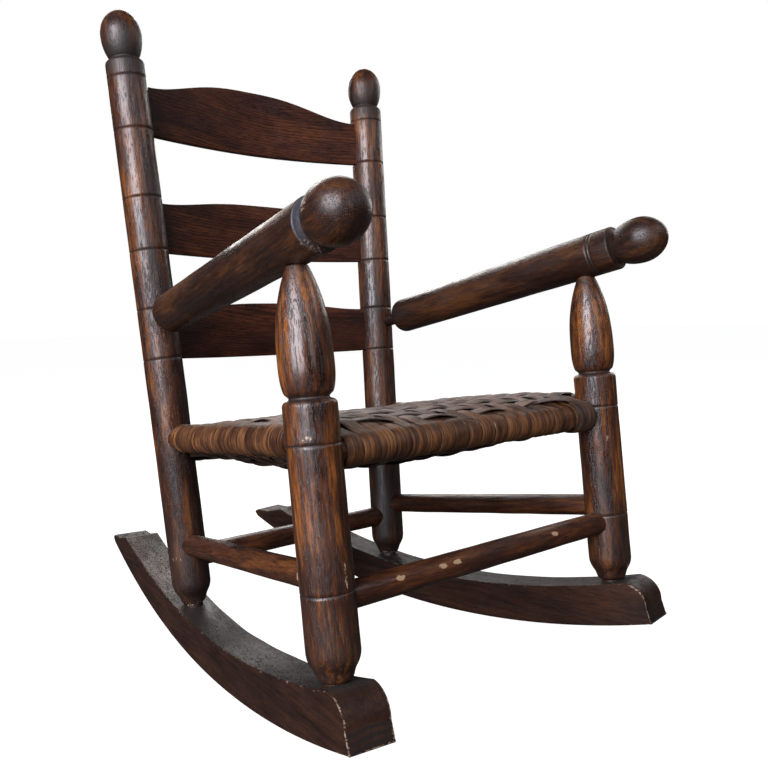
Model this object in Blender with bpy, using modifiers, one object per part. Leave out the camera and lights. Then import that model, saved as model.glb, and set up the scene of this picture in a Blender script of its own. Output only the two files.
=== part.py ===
"""Child's ladder-back rocking chair: turned posts and arms, three bowed slats, a splint seat, two rockers.

Metres, +Z up. The chair faces -Y and stands at rest on its rockers, with the origin on the floor under
the middle of its box. The left-hand side is -X and the right-hand side, its mirror, is +X.
"""

import math

import bmesh
import bpy
from mathutils import Matrix, Vector

# Driving dimensions.
SIDES = {"left": -1, "right": 1}
GAP = 0.0003  # between a tenon and its mortise

# Posts: points on each post's centre line, on the right-hand side. Heights up a post are measured
# along that line from its foot, which is where it meets the top of the rocker.
BACK_FOOT = Vector((0.1367, 0.0608, 0.0425))
BACK_TIP = Vector((0.1652, 0.1264, 0.6584))
FRONT_FOOT = Vector((0.1816, -0.2347, 0.0632))
FRONT_TOP = Vector((0.1843, -0.2009, 0.3770))
BACK_RADIUS = 0.0197
FRONT_RADIUS = 0.0212
BACK_SHOULDER = 0.5680
FRONT_SHOULDER = 0.2148
NECK_DROP = 0.0045  # how far a neck lies in from the post's surface
NECK_RISE = 0.0030  # from a shoulder to the knob above it
SHOULDER_FILLET = 0.0045
FINIAL_RADIUS = 0.0208
BULLET_RADIUS = 0.0217  # the long bullet above a front post's shoulder
BULLET_TIP_RADIUS = 0.0086
BULLET_WIDEST = 0.22  # share of the bullet's height to its widest ring
FOOT_TAPER = 0.0240
BACK_FOOT_NECK = 0.0088
FRONT_FOOT_NECK = 0.0105
FOOT_TENON_DEPTH = 0.0260  # into the rocker
TOP_TENON_RADIUS = 0.0060  # from the bullet's tip up into the arm
TOP_TENON_HEIGHT = 0.0130

# Arms.
ARM_FRONT = Vector((0.1919, -0.2600, 0.4106))  # middle of the egg at the arm's front end
ARM_HEIGHT = {"left": 0.2988, "right": 0.2908}  # up the back post; the two were bored by eye
ARM_BACK_SHOULDER = {"left": 0.0320, "right": 0.0385}  # from the back post's centre line
ARM_BACK_RADIUS = 0.0201
ARM_BACK_FILLET = 0.0110
ARM_FRONT_RADIUS = 0.0221
ARM_FRONT_FILLET = 0.0050
ARM_NECK_RADIUS = 0.0166
ARM_TENON_RADIUS = 0.0070
ARM_TENON_START = 0.0060
ARM_LANDING_RADIUS = 0.0110  # the flat spot under the arm that the bullet's tip meets
EGG_RADIUS = {"left": 0.0240, "right": 0.0227}
EGG_LENGTH = 0.0505
EGG_WIDEST = 0.46  # share of an egg's length from its neck to its widest ring

# Slats: heights of the ends' bottom and top edges up the back post, and the rise of the crest.
SLATS = {
    "slat_top": (0.4943, 0.5462, 0.0225),
    "slat_middle": (0.3707, 0.4233, 0.0112),
    "slat_bottom": (0.2590, 0.3108, 0.0092),
}
SLAT_THICK = 0.0070
SLAT_BOW = 0.0205
SLAT_INSET = 0.0080  # from a back post's centre line to the slat's end
CREST_BREADTH = 1.35  # the power that widens a crest, from 1 for a plain cosine
SLAT_COLUMNS = 22
SLAT_ROWS = 3

# Rails and stretchers: heights up the posts they enter, at the back post and at the front post.
RAIL_RADIUS = 0.0115
RAIL_TENON_RADIUS = 0.0080
RAIL_TENON_DEPTH = 0.0140
FRONT_RAIL_HEIGHT = 0.1730
BACK_RAIL_HEIGHT = 0.1630
SIDE_RAIL_HEIGHTS = (0.1754, 0.1840)
FRONT_STRETCHER_HEIGHT = 0.0626
FRONT_STRETCHER_RADIUS = 0.0112
BACK_STRETCHER_HEIGHT = 0.0506
BACK_STRETCHER_RADIUS = 0.0113
SIDE_STRETCHER_HEIGHTS = (0.0648, 0.0788)
SIDE_STRETCHER_RADIUS = 0.0109
STRETCHER_DEPTH = 0.0110

# Splint seat: two woven layers, wrapped round the rails.
SPLINT_THICK = 0.0022  # two splints, one over the other
SEAT_CLEARANCE = 0.0020  # between the splints and the posts

# Rockers: s runs forward along a rocker from the back post's foot.
ROCKER_THICK = 0.0395
ROCKER_REAR_RADIUS = 0.8200
ROCKER_FRONT_RADIUS = 0.9500
ROCKER_LOW_S = 0.1000  # the point that stands on the floor at rest, under the chair's balance point
ROCKER_REAR_S = -0.2250
ROCKER_FRONT_S = 0.3490
ROCKER_DEPTH = 0.0375
ROCKER_SWELL = 0.0065  # how much deeper the front end is
ROCKER_TAPER = 0.0040  # how much shallower the rear end is
ROCKER_BEVEL_S = -0.1760  # where the rear end starts to slope down
ROCKER_NOSE_S = 0.3205  # where the front end starts to round over
ROCKER_NOSE_DROP = 0.0210
ROCKER_NOSE_LEAN = 0.0055  # how far the front end slopes forward below its rounding
FACET = 0.0240  # length of one flat of the running edge, so that the middle one is a level foot

TURNED_STEPS = 24
RAIL_STEPS = 16
CUTTER_REACH = 0.0400  # how far a bore's cutter runs back out of its post


def clear_scene():
    for obj in list(bpy.data.objects):
        bpy.data.objects.remove(obj)


def new_collection(name, hidden=False):
    collection = bpy.data.collections.new(name)
    collection.hide_render = hidden
    bpy.context.scene.collection.children.link(collection)
    return collection


def new_material(name, colour, roughness):
    material = bpy.data.materials.new(name)
    material.use_nodes = True
    shader = material.node_tree.nodes["Principled BSDF"]
    shader.inputs["Base Color"].default_value = (*colour, 1)
    shader.inputs["Roughness"].default_value = roughness
    shader.inputs["Metallic"].default_value = 0
    return material


def new_object(name, mesh, collection, material=None):
    obj = bpy.data.objects.new(name, mesh)
    collection.objects.link(obj)
    if material:
        mesh.materials.append(material)
    return obj


def make_cutter(obj):
    obj.display_type = "WIRE"
    obj.hide_render = True
    return obj


def at_side(point, side):
    return Vector((side * point.x, point.y, point.z))


def along(start, end, distance):
    """The point this far from start on the line towards end."""
    return start + (end - start).normalized() * distance


def back_point(side, height):
    return along(at_side(BACK_FOOT, side), at_side(BACK_TIP, side), height)


def front_point(side, height):
    return along(at_side(FRONT_FOOT, side), at_side(FRONT_TOP, side), height)


def axis_matrix(start, end):
    """Puts local +Z along the line from start to end."""
    turn = (end - start).to_track_quat("Z", "Y").to_matrix().to_4x4()
    return Matrix.Translation(start) @ turn


# Turned profiles are lists of (radius, height), from the bottom up.


def fillet(radius, height, size, steps=4):
    """A rounded outer corner that ends at this height."""
    angles = [step * math.pi / 2 / steps for step in range(steps + 1)]
    return [(radius - size + size * math.cos(a), height - size + size * math.sin(a)) for a in angles]


def egg(neck_radius, widest, base, length, steps=10):
    """An egg that grows from a neck and closes on the axis."""
    low = length * EGG_WIDEST
    high = length - low
    reach = low / math.sqrt(1 - (neck_radius / widest) ** 2)
    first = -math.acos(neck_radius / widest)
    points = []
    for step in range(steps + 1):
        angle = first + (math.pi / 2 - first) * step / steps
        rise = reach if angle < 0 else high
        points.append((max(0.0, widest * math.cos(angle)), base + low + rise * math.sin(angle)))
    points[-1] = (0.0, base + length)
    return points


def tapered_foot(radius, neck):
    """A tenon for the rocker, a short neck, and a rounded taper up to the post's radius."""
    return [
        (0.0, -FOOT_TENON_DEPTH),
        (neck, -FOOT_TENON_DEPTH),
        (neck, FOOT_TAPER * 0.15),
        (neck + 0.0035, FOOT_TAPER * 0.23),
        (radius - 0.0030, FOOT_TAPER * 0.65),
        (radius - 0.0008, FOOT_TAPER * 0.85),
        (radius, FOOT_TAPER),
    ]


def back_post_profile():
    neck = BACK_RADIUS - NECK_DROP
    base = BACK_SHOULDER + NECK_RISE
    profile = tapered_foot(BACK_RADIUS, BACK_FOOT_NECK)
    profile += fillet(BACK_RADIUS, BACK_SHOULDER, SHOULDER_FILLET)
    profile += [(neck, BACK_SHOULDER + NECK_RISE / 3)]
    return profile + egg(neck, FINIAL_RADIUS, base, (BACK_TIP - BACK_FOOT).length - base)


def bullet(neck, base, height):
    """A knob that swells quickly from its neck and then narrows slowly to a blunt tip."""
    points = []
    for share in (0.0, 0.02, 0.06, 0.12, BULLET_WIDEST):
        swell = math.sqrt(1 - (1 - share / BULLET_WIDEST) ** 2)
        points.append((neck + (BULLET_RADIUS - neck) * swell, base + height * share))
    for share in (0.40, 0.55, 0.68, 0.78, 0.86, 0.93, 1.0):
        drop = ((share - BULLET_WIDEST) / (1 - BULLET_WIDEST)) ** 2.6
        radius = BULLET_RADIUS - (BULLET_RADIUS - BULLET_TIP_RADIUS) * drop
        points.append((radius, base + height * share))
    return points


def front_post_profile():
    length = (FRONT_TOP - FRONT_FOOT).length
    neck = FRONT_RADIUS - NECK_DROP
    base = FRONT_SHOULDER + NECK_RISE
    top = length + TOP_TENON_HEIGHT
    profile = tapered_foot(FRONT_RADIUS, FRONT_FOOT_NECK)
    profile += fillet(FRONT_RADIUS, FRONT_SHOULDER, SHOULDER_FILLET)
    profile += [(neck, FRONT_SHOULDER + NECK_RISE / 3)]
    profile += bullet(neck, base, length - base)
    return profile + [(TOP_TENON_RADIUS, length), (TOP_TENON_RADIUS, top), (0.0, top)]


def arm_profile(length, start, egg_radius):
    """From the back post's centre line, at 0, to the egg's widest ring. The body begins at start."""
    base = length - EGG_LENGTH * EGG_WIDEST
    shoulder = base - NECK_RISE
    size = ARM_BACK_FILLET
    profile = [(0.0, ARM_TENON_START), (ARM_TENON_RADIUS, ARM_TENON_START), (ARM_TENON_RADIUS, start)]
    for step in range(5):
        angle = step * math.pi / 2 / 4
        radius = ARM_BACK_RADIUS - size + size * math.sin(angle)
        profile.append((radius, start + size - size * math.cos(angle)))
    profile += fillet(ARM_FRONT_RADIUS, shoulder, ARM_FRONT_FILLET)
    profile += [(ARM_NECK_RADIUS, shoulder + NECK_RISE / 3)]
    return profile + egg(ARM_NECK_RADIUS, egg_radius, base, EGG_LENGTH)


def rail_profile(length, radius, tenon_radius, shoulder, chamfer=0.0015):
    """A round rail from 0 to length, with a tenon at each end whose shoulder is this far in."""
    return [
        (0.0, 0.0),
        (tenon_radius, 0.0),
        (tenon_radius, shoulder),
        (radius, shoulder + chamfer),
        (radius, length - shoulder - chamfer),
        (tenon_radius, length - shoulder),
        (tenon_radius, length),
        (0.0, length),
    ]


def rod_profile(length, radius, chamfer=0.0010):
    edge = radius - chamfer
    low = [(0.0, 0.0), (edge, 0.0), (radius, chamfer)]
    return low + [(radius, length - chamfer), (edge, length), (0.0, length)]


def turned(name, start, end, profile, collection, material, steps=TURNED_STEPS):
    """Spins a profile round the line from start to end."""
    mesh = bpy.data.meshes.new(name)
    points = [(radius, 0.0, height) for radius, height in reversed(profile)]
    mesh.from_pydata(points, [(i, i + 1) for i in range(len(points) - 1)], [])
    obj = new_object(name, mesh, collection, material)
    obj.matrix_world = axis_matrix(start, end)
    spin = obj.modifiers.new("spin", "SCREW")
    spin.axis = "Z"
    spin.steps = steps
    spin.render_steps = steps
    spin.use_merge_vertices = True
    spin.merge_threshold = 0.00001
    spin.use_smooth_shade = True
    return obj


def bore_cutter(name, bores, collection):
    """One cutter made of a cylinder for each bore, given as (start, end, radius)."""
    mesh = bpy.data.meshes.new(name)
    shape = bmesh.new()
    for start, end, radius in bores:
        turn = (end - start).to_track_quat("Z", "Y").to_matrix().to_4x4()
        bmesh.ops.create_cone(
            shape,
            cap_ends=True,
            segments=RAIL_STEPS,
            radius1=radius,
            radius2=radius,
            depth=(end - start).length,
            matrix=Matrix.Translation((start + end) / 2) @ turn,
        )
    shape.to_mesh(mesh)
    shape.free()
    return make_cutter(new_object(name, mesh, collection))


def cut(obj, cutter):
    modifier = obj.modifiers.new("cut_" + cutter.name, "BOOLEAN")
    modifier.operation = "DIFFERENCE"
    modifier.solver = "EXACT"
    modifier.object = cutter


# Slats.


def slat(name, size, collection, material=None, grow=0.0):
    """A board bowed to the back between the back posts. Its crest rises between them only."""
    low, high, crest = size
    lean = BACK_TIP - BACK_FOOT
    up = Vector((0, lean.y, lean.z)).normalized()
    back = Vector((0, up.z, -up.y))
    half_low = back_point(1, low).x - SLAT_INSET + grow
    half_high = back_point(1, high).x - SLAT_INSET + grow
    clear = back_point(1, high).x - BACK_RADIUS + grow
    shape = bmesh.new()
    bmesh.ops.create_grid(shape, x_segments=SLAT_COLUMNS, y_segments=SLAT_ROWS, size=1)
    for vertex in shape.verts:
        across = vertex.co.x
        rise = (vertex.co.y + 1) / 2
        span = min(1.0, abs(across) * half_high / clear) ** CREST_BREADTH
        edge = high - low + crest * (1 + math.cos(math.pi * span)) / 2 + 2 * grow
        spot = back_point(1, low - grow + rise * edge)
        half = half_low + (half_high - half_low) * rise
        vertex.co = Vector((across * half, spot.y, spot.z)) + back * SLAT_BOW * (1 - across**2)
    mesh = bpy.data.meshes.new(name)
    shape.to_mesh(mesh)
    shape.free()
    obj = new_object(name, mesh, collection, material)
    shell = obj.modifiers.new("thickness", "SOLIDIFY")
    shell.thickness = SLAT_THICK + 2 * grow
    shell.offset = 0
    return obj


# Rails and stretchers.


def bar(name, start, end, radius, tenon, depth, parts, material):
    """A rod between two posts, this deep in each. start and end are (post, point on its centre line, radius).

    Returns its bores, as (post, (deep end, open end, radius)).
    """
    first_post, first_point, first_radius = start
    last_post, last_point, last_radius = end
    first = along(first_point, last_point, first_radius - depth)
    last = along(last_point, first_point, last_radius - depth)
    length = (last - first).length
    if tenon < radius:
        profile = rail_profile(length, radius, tenon, depth + 0.0010)
    else:
        profile = rod_profile(length, radius)
    turned(name, first, last, profile, parts, material, RAIL_STEPS)
    first_bore = (along(first, last, -GAP), along(first, last, CUTTER_REACH), tenon + GAP)
    last_bore = (along(last, first, -GAP), along(last, first, CUTTER_REACH), tenon + GAP)
    return [(first_post, first_bore), (last_post, last_bore)]


def build_bars(parts, material):
    """The four seat rails and the four stretchers. Returns the bores that each post needs."""

    def back_end(word, height):
        return ("back_" + word, back_point(SIDES[word], height), BACK_RADIUS)

    def front_end(word, height):
        return ("front_" + word, front_point(SIDES[word], height), FRONT_RADIUS)

    bores = []

    def rail(name, start, end):
        bores.extend(bar(name, start, end, RAIL_RADIUS, RAIL_TENON_RADIUS, RAIL_TENON_DEPTH, parts, material))

    def stretcher(name, start, end, radius):
        bores.extend(bar(name, start, end, radius, radius, STRETCHER_DEPTH, parts, material))

    rail("seat_rail_front", front_end("left", FRONT_RAIL_HEIGHT), front_end("right", FRONT_RAIL_HEIGHT))
    rail("seat_rail_back", back_end("left", BACK_RAIL_HEIGHT), back_end("right", BACK_RAIL_HEIGHT))
    left = front_end("left", FRONT_STRETCHER_HEIGHT)
    right = front_end("right", FRONT_STRETCHER_HEIGHT)
    stretcher("stretcher_front", left, right, FRONT_STRETCHER_RADIUS)
    left = back_end("left", BACK_STRETCHER_HEIGHT)
    right = back_end("right", BACK_STRETCHER_HEIGHT)
    stretcher("stretcher_back", left, right, BACK_STRETCHER_RADIUS)
    for word in SIDES:
        back_height, front_height = SIDE_RAIL_HEIGHTS
        rail("seat_rail_" + word, back_end(word, back_height), front_end(word, front_height))
        back_height, front_height = SIDE_STRETCHER_HEIGHTS
        start = back_end(word, back_height)
        end = front_end(word, front_height)
        stretcher("stretcher_" + word, start, end, SIDE_STRETCHER_RADIUS)
    return bores


# Arms and posts.


def build_arm(word, parts, cutters, material):
    """An arm, bored for the top of the front post. Returns the bore that it needs in the back post."""
    side = SIDES[word]
    start = back_point(side, ARM_HEIGHT[word])
    end = at_side(ARM_FRONT, side)
    profile = arm_profile((end - start).length, ARM_BACK_SHOULDER[word], EGG_RADIUS[word])
    arm = turned("arm_" + word, start, end, profile, parts, material)
    top = at_side(FRONT_TOP, side)
    foot = at_side(FRONT_FOOT, side)
    below = along(top, foot, CUTTER_REACH / 2)
    tenon_end = along(top, foot, -TOP_TENON_HEIGHT - GAP)
    landing = along(top, foot, -GAP)
    cut(arm, bore_cutter("arm_socket_" + word, [(tenon_end, below, TOP_TENON_RADIUS + GAP)], cutters))
    cut(arm, bore_cutter("arm_landing_" + word, [(landing, below, ARM_LANDING_RADIUS)], cutters))
    deep = along(start, end, ARM_TENON_START - GAP)
    return ("back_" + word, (deep, along(start, end, CUTTER_REACH), ARM_TENON_RADIUS + GAP))


def build_posts(word, bores, slots, parts, cutters, material):
    side = SIDES[word]
    back_ends = at_side(BACK_FOOT, side), at_side(BACK_TIP, side)
    front_ends = at_side(FRONT_FOOT, side), at_side(FRONT_TOP, side)
    back_post = turned("back_post_" + word, *back_ends, back_post_profile(), parts, material)
    front_post = turned("front_post_" + word, *front_ends, front_post_profile(), parts, material)
    for end, post in (("back_", back_post), ("front_", front_post)):
        own = [bore for name, bore in bores if name == end + word]
        cut(post, bore_cutter(end + word + "_bores", own, cutters))
    for slot in slots:
        cut(back_post, slot)


# Seat.


def racetrack(first, second, radius, steps=8):
    """A closed loop round two circles of one radius, in the plane of its 2D points."""
    way = (second - first).normalized()
    side = Vector((-way.y, way.x))
    loop = []
    for centre, start in ((first, math.pi / 2), (second, -math.pi / 2)):
        for step in range(steps + 1):
            angle = start + math.pi * step / steps
            loop.append(centre + radius * (math.cos(angle) * way + math.sin(angle) * side))
    return loop


def sleeve(name, loop_a, loop_b, collection, material):
    """A thin closed band: a loft between two loops, with thickness."""
    shape = bmesh.new()
    first = [shape.verts.new(point) for point in loop_a]
    second = [shape.verts.new(point) for point in loop_b]
    count = len(first)
    for i in range(count):
        j = (i + 1) % count
        shape.faces.new((first[i], first[j], second[j], second[i]))
    mesh = bpy.data.meshes.new(name)
    shape.to_mesh(mesh)
    shape.free()
    obj = new_object(name, mesh, collection, material)
    shell = obj.modifiers.new("thickness", "SOLIDIFY")
    shell.thickness = SPLINT_THICK
    shell.offset = 0
    shell.use_even_offset = True
    return obj


def seat_warp(collection, material):
    """The splints that run front to back, round the front and back rails."""
    front = front_point(1, FRONT_RAIL_HEIGHT)
    back = back_point(1, BACK_RAIL_HEIGHT)
    radius = RAIL_RADIUS + GAP + SPLINT_THICK / 2
    loop = racetrack(Vector((front.y, front.z)), Vector((back.y, back.z)), radius)
    half_front = front.x - FRONT_RADIUS - SEAT_CLEARANCE
    half_back = back.x - BACK_RADIUS - SEAT_CLEARANCE

    def half(y):
        share = (y - front.y) / (back.y - front.y)
        return half_front + (half_back - half_front) * min(1, max(0, share))

    left = [Vector((-half(p.x), p.x, p.y)) for p in loop]
    right = [Vector((half(p.x), p.x, p.y)) for p in loop]
    return sleeve("seat_warp", left, right, collection, material)


def seat_weft(collection, material):
    """The splints that run side to side, round the side rails."""
    back = back_point(1, SIDE_RAIL_HEIGHTS[0])
    front = front_point(1, SIDE_RAIL_HEIGHTS[1])
    radius = RAIL_RADIUS + GAP + SPLINT_THICK / 2
    loops = []
    for y in (back.y - BACK_RADIUS - SEAT_CLEARANCE, front.y + FRONT_RADIUS + SEAT_CLEARANCE):
        spot = back + (front - back) * ((y - back.y) / (front.y - back.y))
        loop = racetrack(Vector((-spot.x, spot.z)), Vector((spot.x, spot.z)), radius)
        loops.append([Vector((p.x, y, p.y)) for p in loop])
    return sleeve("seat_weft", *loops, collection, material)


# Rockers.


def running_edge(s):
    """Height of the rocker's curve over its lowest point: two arcs that meet there, the front one flatter."""
    radius = ROCKER_FRONT_RADIUS if s > ROCKER_LOW_S + FACET else ROCKER_REAR_RADIUS
    return radius - math.sqrt(radius**2 - (s - ROCKER_LOW_S) ** 2)


def rocker_top(s):
    forward = max(0.0, (s - ROCKER_LOW_S) / (ROCKER_NOSE_S - ROCKER_LOW_S))
    backward = max(0.0, (ROCKER_LOW_S - s) / (ROCKER_LOW_S - ROCKER_BEVEL_S))
    return running_edge(s) + ROCKER_DEPTH + ROCKER_SWELL * forward - ROCKER_TAPER * backward**2


def rocker_outline(steps=20, nose_steps=6):
    """(s, z) points of a rocker seen from its side, anticlockwise from the rear of the running edge."""
    first = math.ceil((ROCKER_REAR_S - ROCKER_LOW_S) / FACET)
    last = math.floor((ROCKER_FRONT_S - ROCKER_LOW_S) / FACET)
    spots = [ROCKER_LOW_S + (i + 0.5) * FACET for i in range(first, last)]
    floor = running_edge(ROCKER_LOW_S + FACET / 2)
    points = [(s, running_edge(s) - floor) for s in [ROCKER_REAR_S + 0.0040, *spots, ROCKER_FRONT_S]]
    nose_top = rocker_top(ROCKER_NOSE_S)
    reach = ROCKER_FRONT_S - ROCKER_NOSE_LEAN - ROCKER_NOSE_S
    for step in range(nose_steps + 1):
        angle = step * math.pi / 2 / nose_steps
        drop = ROCKER_NOSE_DROP * (1 - math.sin(angle))
        points.append((ROCKER_NOSE_S + reach * math.cos(angle), nose_top - drop))
    for step in range(1, steps + 1):
        s = ROCKER_NOSE_S + (ROCKER_BEVEL_S - ROCKER_NOSE_S) * step / steps
        points.append((s, rocker_top(s)))
    rear = running_edge(ROCKER_REAR_S)
    points.append((ROCKER_BEVEL_S - 0.0260, rocker_top(ROCKER_BEVEL_S) - 0.0062))
    points.append((ROCKER_REAR_S + 0.0040, rear + 0.0082))
    points.append((ROCKER_REAR_S, rear + 0.0062))
    points.append((ROCKER_REAR_S - 0.0005, rear + 0.0030))
    return points


def outline_mesh(name, points, thick, collection):
    """A flat outline made into a board, lying in its own XY plane."""
    outline = bpy.data.curves.new(name, "CURVE")
    outline.dimensions = "2D"
    outline.fill_mode = "BOTH"
    outline.extrude = thick / 2
    spline = outline.splines.new("POLY")
    spline.points.add(len(points) - 1)
    for point, (s, z) in zip(spline.points, points):
        point.co = (s, z, 0, 1)
    spline.use_cyclic_u = True
    flat = bpy.data.objects.new(name + "_outline", outline)
    collection.objects.link(flat)
    graph = bpy.context.evaluated_depsgraph_get()
    mesh = bpy.data.meshes.new_from_object(flat.evaluated_get(graph))
    bpy.data.objects.remove(flat)
    shape = bmesh.new()
    shape.from_mesh(mesh)
    bmesh.ops.remove_doubles(shape, verts=shape.verts, dist=0.00001)
    shape.to_mesh(mesh)
    shape.free()
    return mesh


def build_rocker(word, parts, cutters, material):
    """A board stood on edge under the feet of a back post and a front post, and bored for both."""
    side = SIDES[word]
    name = "rocker_" + word
    mesh = outline_mesh(name, rocker_outline(), ROCKER_THICK, parts)
    board = new_object(name, mesh, parts, material)
    foot = at_side(BACK_FOOT, side)
    forward = at_side(FRONT_FOOT, side) - foot
    forward = Vector((forward.x, forward.y, 0)).normalized()
    up = Vector((0, 0, 1))
    turn = Matrix((forward, up, forward.cross(up))).transposed().to_4x4()
    board.matrix_world = Matrix.Translation(Vector((foot.x, foot.y, 0))) @ turn
    bores = []
    for foot, tip, neck in ((BACK_FOOT, BACK_TIP, BACK_FOOT_NECK), (FRONT_FOOT, FRONT_TOP, FRONT_FOOT_NECK)):
        low = along(at_side(foot, side), at_side(tip, side), -FOOT_TENON_DEPTH - GAP)
        high = along(at_side(foot, side), at_side(tip, side), FOOT_TAPER)
        bores.append((low, high, neck + GAP))
    cut(board, bore_cutter("rocker_bores_" + word, bores, cutters))


def build():
    clear_scene()
    parts = new_collection("child_rocking_chair")
    cutters = new_collection("cutters", hidden=True)
    oak = new_material("dark_stained_oak", (0.085, 0.032, 0.014), 0.35)
    slat_oak = new_material("red_brown_slat_oak", (0.060, 0.020, 0.012), 0.40)
    rocker_oak = new_material("worn_rocker_oak", (0.045, 0.026, 0.020), 0.50)
    splint = new_material("aged_ash_splint", (0.135, 0.075, 0.042), 0.45)

    slots = []
    for name, size in SLATS.items():
        slat(name, size, parts, slat_oak)
        slots.append(make_cutter(slat(name + "_slot", size, cutters, grow=GAP)))
    bores = build_bars(parts, oak)
    for word in SIDES:
        bores.append(build_arm(word, parts, cutters, oak))
        build_posts(word, bores, slots, parts, cutters, oak)
        build_rocker(word, parts, cutters, rocker_oak)
    seat_warp(parts, splint)
    seat_weft(parts, splint)


build()
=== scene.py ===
"""Looks of a child's ladder-back rocking chair: stained, varnished oak and an aged splint seat.

Every visible piece is a fine mesh in the frame's own coordinates, built on the axes and boxes of the CAD
nodes. Each mesh carries two attributes that its material reads:
  grain  the point in the wood that the piece was cut from, with the grain along Z, in metres
  marks  X scored line, streak on a rocker's front face, and painted shade in crevices, under finials and eggs, near
  tips, towards the feet, along a splint's edges and under the seat; Y painted sheen on a rocker's top and painted
  reflection on the left arm's face, and on a splint how far it wraps a rail; Z pale chip
"""

import math

import bpy
import numpy as np
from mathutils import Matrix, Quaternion, Vector


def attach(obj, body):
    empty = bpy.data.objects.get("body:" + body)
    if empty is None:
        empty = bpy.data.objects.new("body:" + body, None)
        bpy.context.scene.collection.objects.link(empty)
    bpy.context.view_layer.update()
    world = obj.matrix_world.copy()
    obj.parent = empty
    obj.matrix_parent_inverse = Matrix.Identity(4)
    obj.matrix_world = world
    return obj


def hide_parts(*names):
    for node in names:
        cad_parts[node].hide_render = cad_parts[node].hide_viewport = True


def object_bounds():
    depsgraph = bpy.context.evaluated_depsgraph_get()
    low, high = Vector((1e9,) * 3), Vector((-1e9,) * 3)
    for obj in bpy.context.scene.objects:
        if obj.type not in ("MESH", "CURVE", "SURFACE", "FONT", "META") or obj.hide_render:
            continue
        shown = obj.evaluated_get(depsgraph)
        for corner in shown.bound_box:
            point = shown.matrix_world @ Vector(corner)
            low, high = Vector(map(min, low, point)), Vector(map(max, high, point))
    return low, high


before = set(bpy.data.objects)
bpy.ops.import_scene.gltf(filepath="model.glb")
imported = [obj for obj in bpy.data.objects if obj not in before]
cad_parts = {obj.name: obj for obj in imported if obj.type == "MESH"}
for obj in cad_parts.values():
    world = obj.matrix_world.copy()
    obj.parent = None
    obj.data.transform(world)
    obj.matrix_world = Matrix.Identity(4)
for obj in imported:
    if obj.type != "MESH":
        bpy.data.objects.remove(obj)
CAD_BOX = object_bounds()

SIDES = {"left": -1, "right": 1}
SEGMENTS = 96  # round a turned piece
RING_STEP = 0.0020  # between the rings of a turned piece's straight stretches
SCORE_DEPTH = 0.0006
SCORE_HALF = 0.0009  # half of a scored line's width
SCORE_AND_SHADE_DARK = (0.0075, 0.0048, 0.0038)  # the near-black of scored lines, of streaks on a rocker's front face, and of painted shade in crevices, under finials and eggs, near tips and towards the feet

# Posts. Heights are measured along a post from its foot, where it meets the rocker.
FOOT_TENON = 0.0260
FOOT_TAPER = 0.0240
BACK_FOOT_NECK = 0.0088
BACK_RADIUS = 0.0197
BACK_SHOULDER = 0.5680
BACK_SCORES = (0.5496, 0.4957, 0.4253, 0.3712, 0.3104, 0.2588)
FINIAL_RADIUS = 0.0208
FRONT_FOOT_NECK = 0.0105
FRONT_RADIUS = 0.0212
FRONT_SHOULDER = 0.2148
FRONT_SCORES = (0.1811, 0.0703)
TOP_TENON = 0.0130
TOP_TENON_RADIUS = 0.0060
BULLET_RADIUS = 0.0217
BULLET_TIP = 0.0086
BULLET_WIDEST = 0.22  # share of the bullet's height to its widest ring
NECK_RISE = 0.0030  # from a shoulder to the knob above it
NECK_DROP = 0.0045  # how far a neck lies in from the post's surface
NECK_GROOVE = 0.0010  # how much further in the groove under a knob goes

# Arms.
ARM_BACK_RADIUS = 0.0201
ARM_BACK_FILLET = 0.0110
ARM_FRONT_RADIUS = 0.0221
ARM_FRONT_FILLET = 0.0018
ARM_TENON_RADIUS = 0.0070
ARM_BACK_SHOULDER = {"left": 0.0320, "right": 0.0385}
ARM_TENON_START = 0.0060
ARM_NECK = 0.0166
ARM_LINES = (0.0200, 0.0235)  # scored round the right arm only, back from its shoulder
EGG_RADIUS = {"left": 0.0240, "right": 0.0227}
EGG_LENGTH = 0.0505
EGG_WIDEST = 0.46  # share of an egg's length from its neck to its widest ring

# Slats: heights of the bottom and top edges up the back post, and the rise of the crest.
SLATS = {
    "slat_top": (0.4943, 0.5462, 0.0225),
    "slat_middle": (0.3707, 0.4233, 0.0112),
    "slat_bottom": (0.2590, 0.3108, 0.0092),
}
SLAT_THICK = 0.0070
SLAT_BOW = 0.0205
SLAT_INSET = 0.0080
CREST_BREADTH = 1.35  # the power that widens a crest, from 1 for a plain cosine

# Rockers: s runs forward along a rocker from the back post's foot.
ROCKER_THICK = 0.0395
ROCKER_REAR_RADIUS = 0.8200
ROCKER_FRONT_RADIUS = 0.9500
ROCKER_LOW_S = 0.1000
ROCKER_REAR_S = -0.2250
ROCKER_FRONT_S = 0.3490
ROCKER_DEPTH = 0.0375
ROCKER_SWELL = 0.0065
ROCKER_TAPER = 0.0040
ROCKER_BEVEL_S = -0.1760
ROCKER_NOSE_S = 0.3205
ROCKER_NOSE_DROP = 0.0210
ROCKER_NOSE_LEAN = 0.0055
ROCKER_NOSE = ROCKER_FRONT_S - ROCKER_NOSE_LEAN - ROCKER_NOSE_S  # how far forward the nose's rounding reaches

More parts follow.
